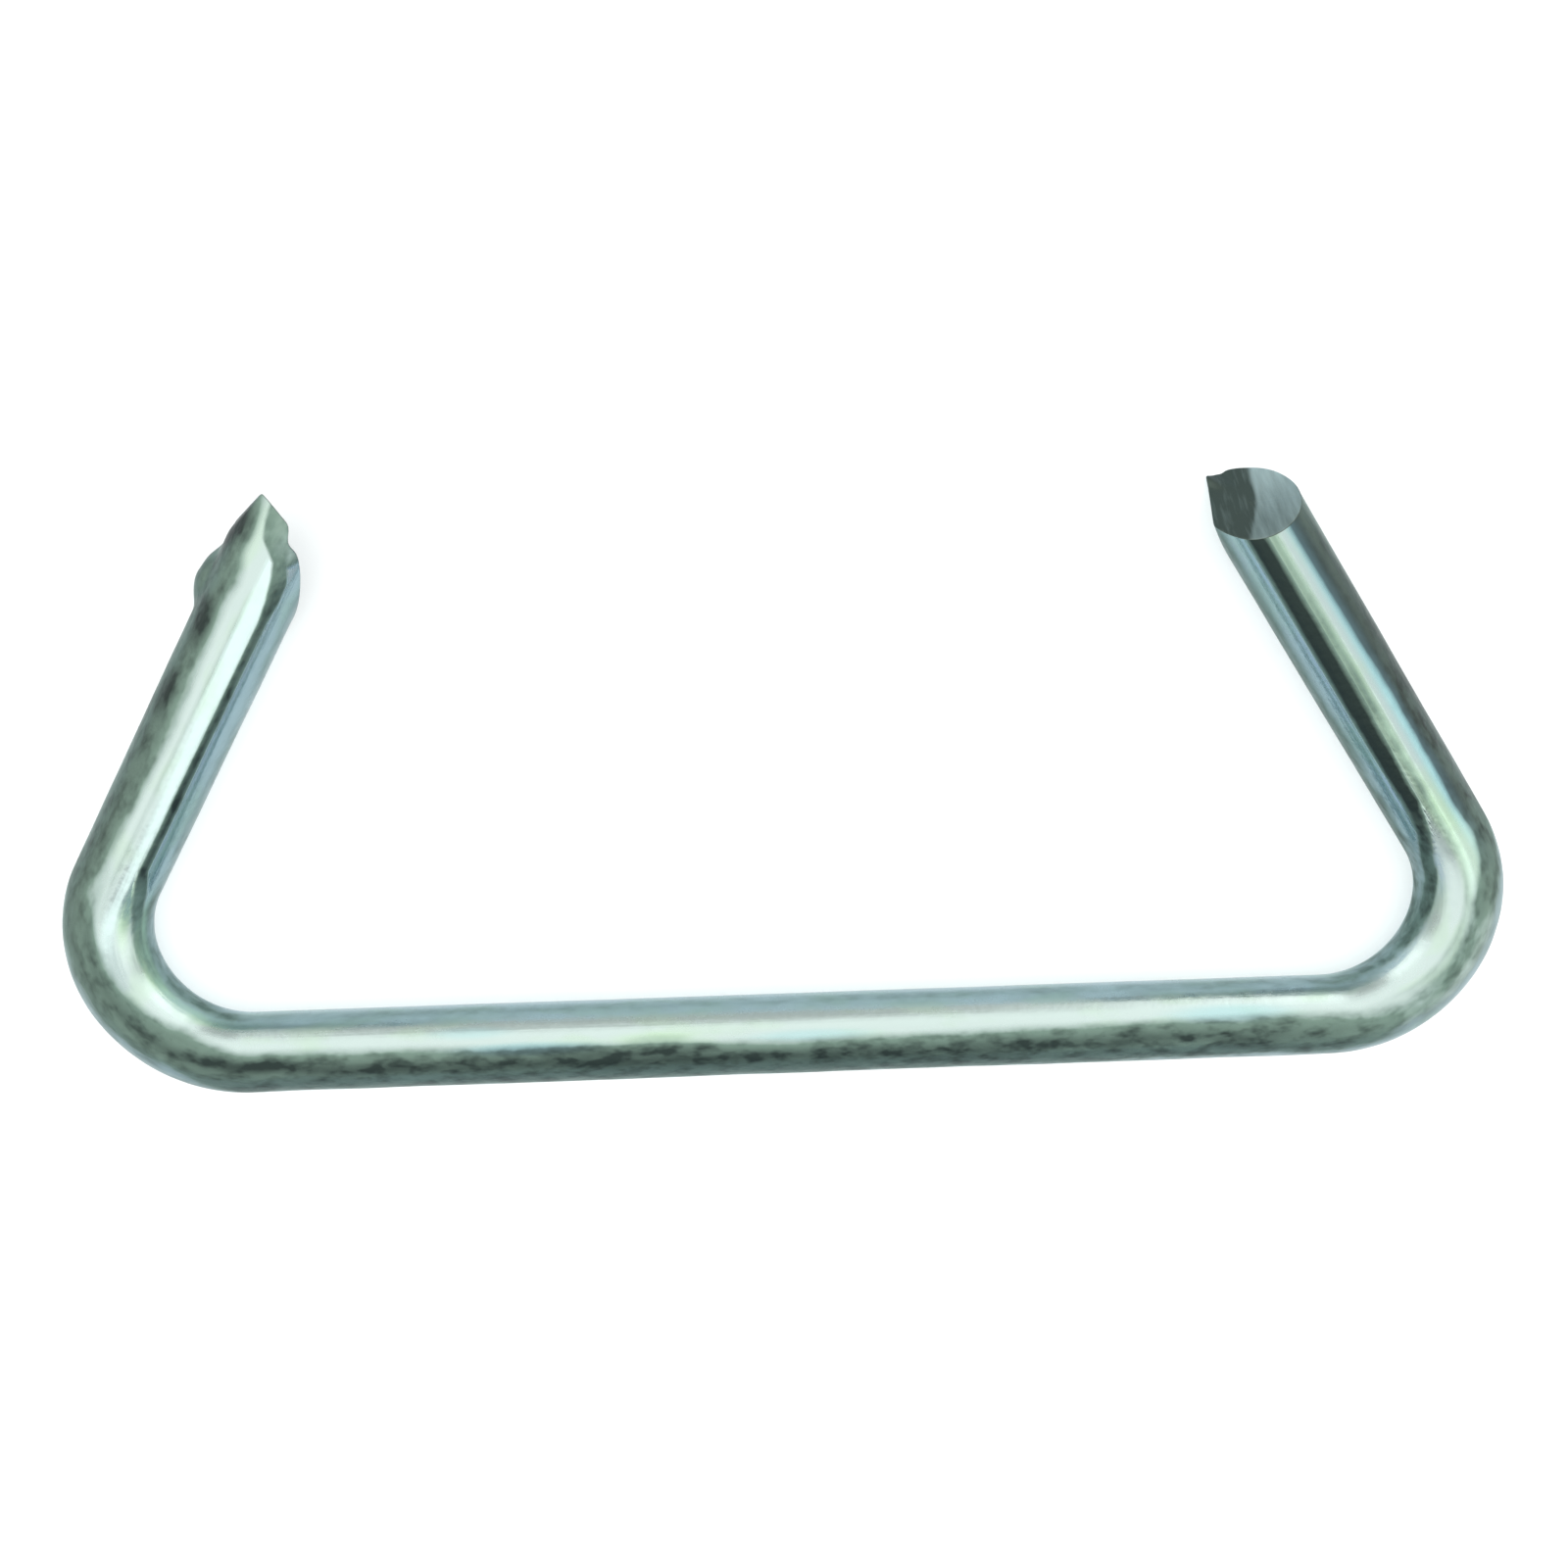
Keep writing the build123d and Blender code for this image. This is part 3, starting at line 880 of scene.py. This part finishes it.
def room_light(tree, level):
    """Colour of the room in each direction: azimuth is the arc tangent of y and x, elevation the
    arc sine of z, and each panel is a soft-edged patch of both, painted over the ones before."""
    direction = add_node(tree, "ShaderNodeTexCoord").outputs["Generated"]
    axes = add_node(tree, "ShaderNodeSeparateXYZ", None, {"Vector": direction}).outputs
    azimuth = add_node(tree, "ShaderNodeMath", None, {0: axes["Y"], 1: axes["X"]},
                       operation="ARCTAN2").outputs[0]
    elevation = add_node(tree, "ShaderNodeMath", None, {0: axes["Z"]},
                         operation="ARCSINE").outputs[0]
    colour = add_node(tree, "ShaderNodeRGB").outputs[0]
    colour.default_value = linear(ROOM_TINT)
    for name, az, el, width, height, soft_side, soft_end, brightness, tint in PANELS:
        spans = [(elevation, el, height, soft_end)]
        if width < FULL_TURN:
            spans.append((azimuth, az, width, soft_side))
        masks = []
        for angle, middle, size, soft in spans:
            off = add_node(tree, "ShaderNodeMath", {1: math.radians(middle)}, {0: angle},
                           operation="SUBTRACT").outputs[0]
            off = add_node(tree, "ShaderNodeMath", {1: math.pi, 2: -math.pi}, {0: off},
                           operation="WRAP").outputs[0]
            off = add_node(tree, "ShaderNodeMath", None, {0: off}, operation="ABSOLUTE").outputs[0]
            ends = {"From Min": math.radians(size / 2 + soft),
                    "From Max": math.radians(size / 2 - soft)}
            masks.append(add_node(tree, "ShaderNodeMapRange", ends, {"Value": off},
                                  interpolation_type="SMOOTHSTEP").outputs["Result"])
        mask = masks[0]
        if len(masks) > 1:
            mask = add_node(tree, "ShaderNodeMath", None, {0: masks[0], 1: masks[1]},
                            operation="MULTIPLY").outputs[0]
        bright = (*(channel * brightness * level for channel in linear(tint)[:3]), 1.0)
        colour = add_node(tree, "ShaderNodeMix", {7: bright}, {"Factor": mask, 6: colour},
                          data_type="RGBA", label=name).outputs[2]
    return colour


# Camera as found from the photo: directions to its right, up and back, and place in millimetres
CAMERA_RIGHT = (0.99935243, -0.02710665, 0.02366323)
CAMERA_UP = (0.03230796, 0.96548047, -0.25846403)
CAMERA_BACK = (-0.01584029, 0.25906116, 0.96573102)
CAMERA_PLACE = (-0.653, 10.104, 38.076)
SENSOR_WIDTH = 36
NEAREST, FURTHEST = 1 * MM, 10.0
# Lamps: how wide each spreads and how it is turned
LAMP_SPREAD = math.radians(110)
LAMP_TURN = (math.radians(-8), math.radians(4), 0)
# Pixels of the map by which the room is sampled, and half the table's side in metres
ROOM_MAP = 512
TABLE_HALF = 1


class RING_OT_build_wire(bpy.types.Operator):
    """Build the bent wire with its sheared tips, in zinc-plated steel"""

    bl_idname = "hog_ring.build_wire"
    bl_label = "Build wire"

    def execute(self, context):
        sizes = context.scene.hog_ring_sizes
        grids, middles, marks = ring_surface(sizes)
        length, around, cut = grids["length"], grids["around"], grids["cut"]
        film_and_shade = film_and_shade_share(length, around, marks) * (1 - cut)
        broken_up = CLEAN_MOTTLING + (1 - CLEAN_MOTTLING) * np.clip(film_and_shade, 0, 1)
        attributes = {
            "film_and_shade": film_and_shade, "mottling": along_stops(length, marks, MOTTLING) * broken_up,
            "haze": along_stops(length, marks, HAZE), "blue": blue_share(length, around, marks),
            "green": patches(length, around, marks, GREEN_PATCHES),
            "cut": cut, "painted_facet_light": grids["painted_facet_light"],
            "wire": np.stack([length, WIRE_RADIUS * np.cos(around),
                              WIRE_RADIUS * np.sin(around)], axis=-1)}
        points = rippled_points(grids, sizes.ripple_depth)
        mesh = make_mesh("plated_wire", points, middles, attributes)
        if signed_volume(mesh) <= 0:
            raise RuntimeError("the wire's faces point inwards")
        mesh.materials.append(zinc_plated_steel(context.scene.hog_ring_colours))
        piece = bpy.data.objects.new("plated_wire", mesh)
        context.scene.collection.objects.link(piece)
        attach(piece, "root")
        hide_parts(RING_NODE)
        return {"FINISHED"}


class RING_OT_build_stage(bpy.types.Operator):
    """Build the pale table, the soft studio light and the camera above the ring"""

    bl_idname = "hog_ring.build_stage"
    bl_label = "Build stage"

    def execute(self, context):
        settings = context.scene.hog_ring_stage
        self.add_table(context)
        self.add_light(context, settings)
        self.add_camera(context, settings)
        return {"FINISHED"}

    def add_table(self, context):
        """Flat square under the ring, two metres a side."""
        h = TABLE_HALF
        corners = [(-h, -h, 0), (h, -h, 0), (h, h, 0), (-h, h, 0)]
        mesh = bpy.data.meshes.new("table_top")
        mesh.from_pydata(corners, [], [(0, 1, 2, 3)])
        mesh.materials.append(table_material(context.scene.hog_ring_colours))
        table = bpy.data.objects.new("table_top", mesh)
        context.scene.collection.objects.link(table)

    def add_light(self, context, settings):
        """Room of soft panels that only the metal mirrors, white to the camera, and two broad
        lights for the table that the metal doesn't mirror."""
        world = bpy.data.worlds.new("soft_room")
        context.scene.world = world
        world.use_nodes = True
        tree = world.node_tree
        tree.nodes.clear()
        room = room_light(tree, settings.panel_level)
        seen = add_node(tree, "ShaderNodeLightPath").outputs["Is Camera Ray"]
        colour = add_node(tree, "ShaderNodeMix", {7: linear("ffffff")},
                          {"Factor": seen, 6: room}, data_type="RGBA").outputs[2]
        background = add_node(tree, "ShaderNodeBackground", None, {"Color": colour})
        add_node(tree, "ShaderNodeOutputWorld", None, {"Surface": background.outputs["Background"]})
        world.cycles_visibility.diffuse = False
        world.cycles.sampling_method = "MANUAL"
        world.cycles.sample_map_resolution = ROOM_MAP
        for name, level, shadow in (("broad_overhead", settings.overhead_level, True),
                                    ("table_fill", settings.fill_level, False)):
            sun = bpy.data.lights.new(name, "SUN")
            sun.energy = level
            sun.angle = LAMP_SPREAD
            sun.use_shadow = shadow
            lamp = bpy.data.objects.new(name, sun)
            lamp.rotation_euler = LAMP_TURN
            lamp.visible_glossy = False
            context.scene.collection.objects.link(lamp)
        context.scene.view_settings.view_transform = "Standard"
        context.scene.view_settings.look = "None"
        context.scene.view_settings.exposure = 0.0
        context.scene.view_settings.gamma = 1.0

    def add_camera(self, context, settings):
        """Close camera above the tips, tilted a little back towards the crown."""
        lens = bpy.data.cameras.new("close_camera")
        lens.sensor_fit = "HORIZONTAL"
        lens.sensor_width = SENSOR_WIDTH
        lens.lens = settings.lens
        lens.clip_start = NEAREST
        lens.clip_end = FURTHEST
        camera = bpy.data.objects.new("close_camera", lens)
        place = Matrix.Identity(4)
        for column, axis in enumerate((CAMERA_RIGHT, CAMERA_UP, CAMERA_BACK)):
            place.col[column] = (*axis, 0)
        place.col[3] = (*(value * MM for value in CAMERA_PLACE), 1)
        camera.matrix_world = place
        context.scene.collection.objects.link(camera)
        context.scene.camera = camera


class RING_PT_panel(bpy.types.Panel):
    """Sidebar panel with the ring's sizes, finish and stage."""

    bl_label = "Hog ring"
    bl_idname = "RING_PT_panel"
    bl_space_type = "VIEW_3D"
    bl_region_type = "UI"
    bl_category = "Hog ring"

    def draw(self, context):
        layout = self.layout
        for group in ("hog_ring_sizes", "hog_ring_colours", "hog_ring_stage"):
            settings = getattr(context.scene, group)
            for name in settings.__annotations__:
                layout.prop(settings, name)
        layout.operator(RING_OT_build_wire.bl_idname)
        layout.operator(RING_OT_build_stage.bl_idname)


CLASSES = (RingSizes, FinishColours, StageSettings, RING_OT_build_wire, RING_OT_build_stage,
           RING_PT_panel)


def register():
    for cls in CLASSES:
        bpy.utils.register_class(cls)
    bpy.types.Scene.hog_ring_sizes = PointerProperty(type=RingSizes)
    bpy.types.Scene.hog_ring_colours = PointerProperty(type=FinishColours)
    bpy.types.Scene.hog_ring_stage = PointerProperty(type=StageSettings)


def unregister():
    del bpy.types.Scene.hog_ring_stage
    del bpy.types.Scene.hog_ring_colours
    del bpy.types.Scene.hog_ring_sizes
    for cls in reversed(CLASSES):
        bpy.utils.unregister_class(cls)


def main():
    register()
    bpy.ops.hog_ring.build_wire()
    bpy.ops.hog_ring.build_stage()


if __name__ == "__main__":
    main()
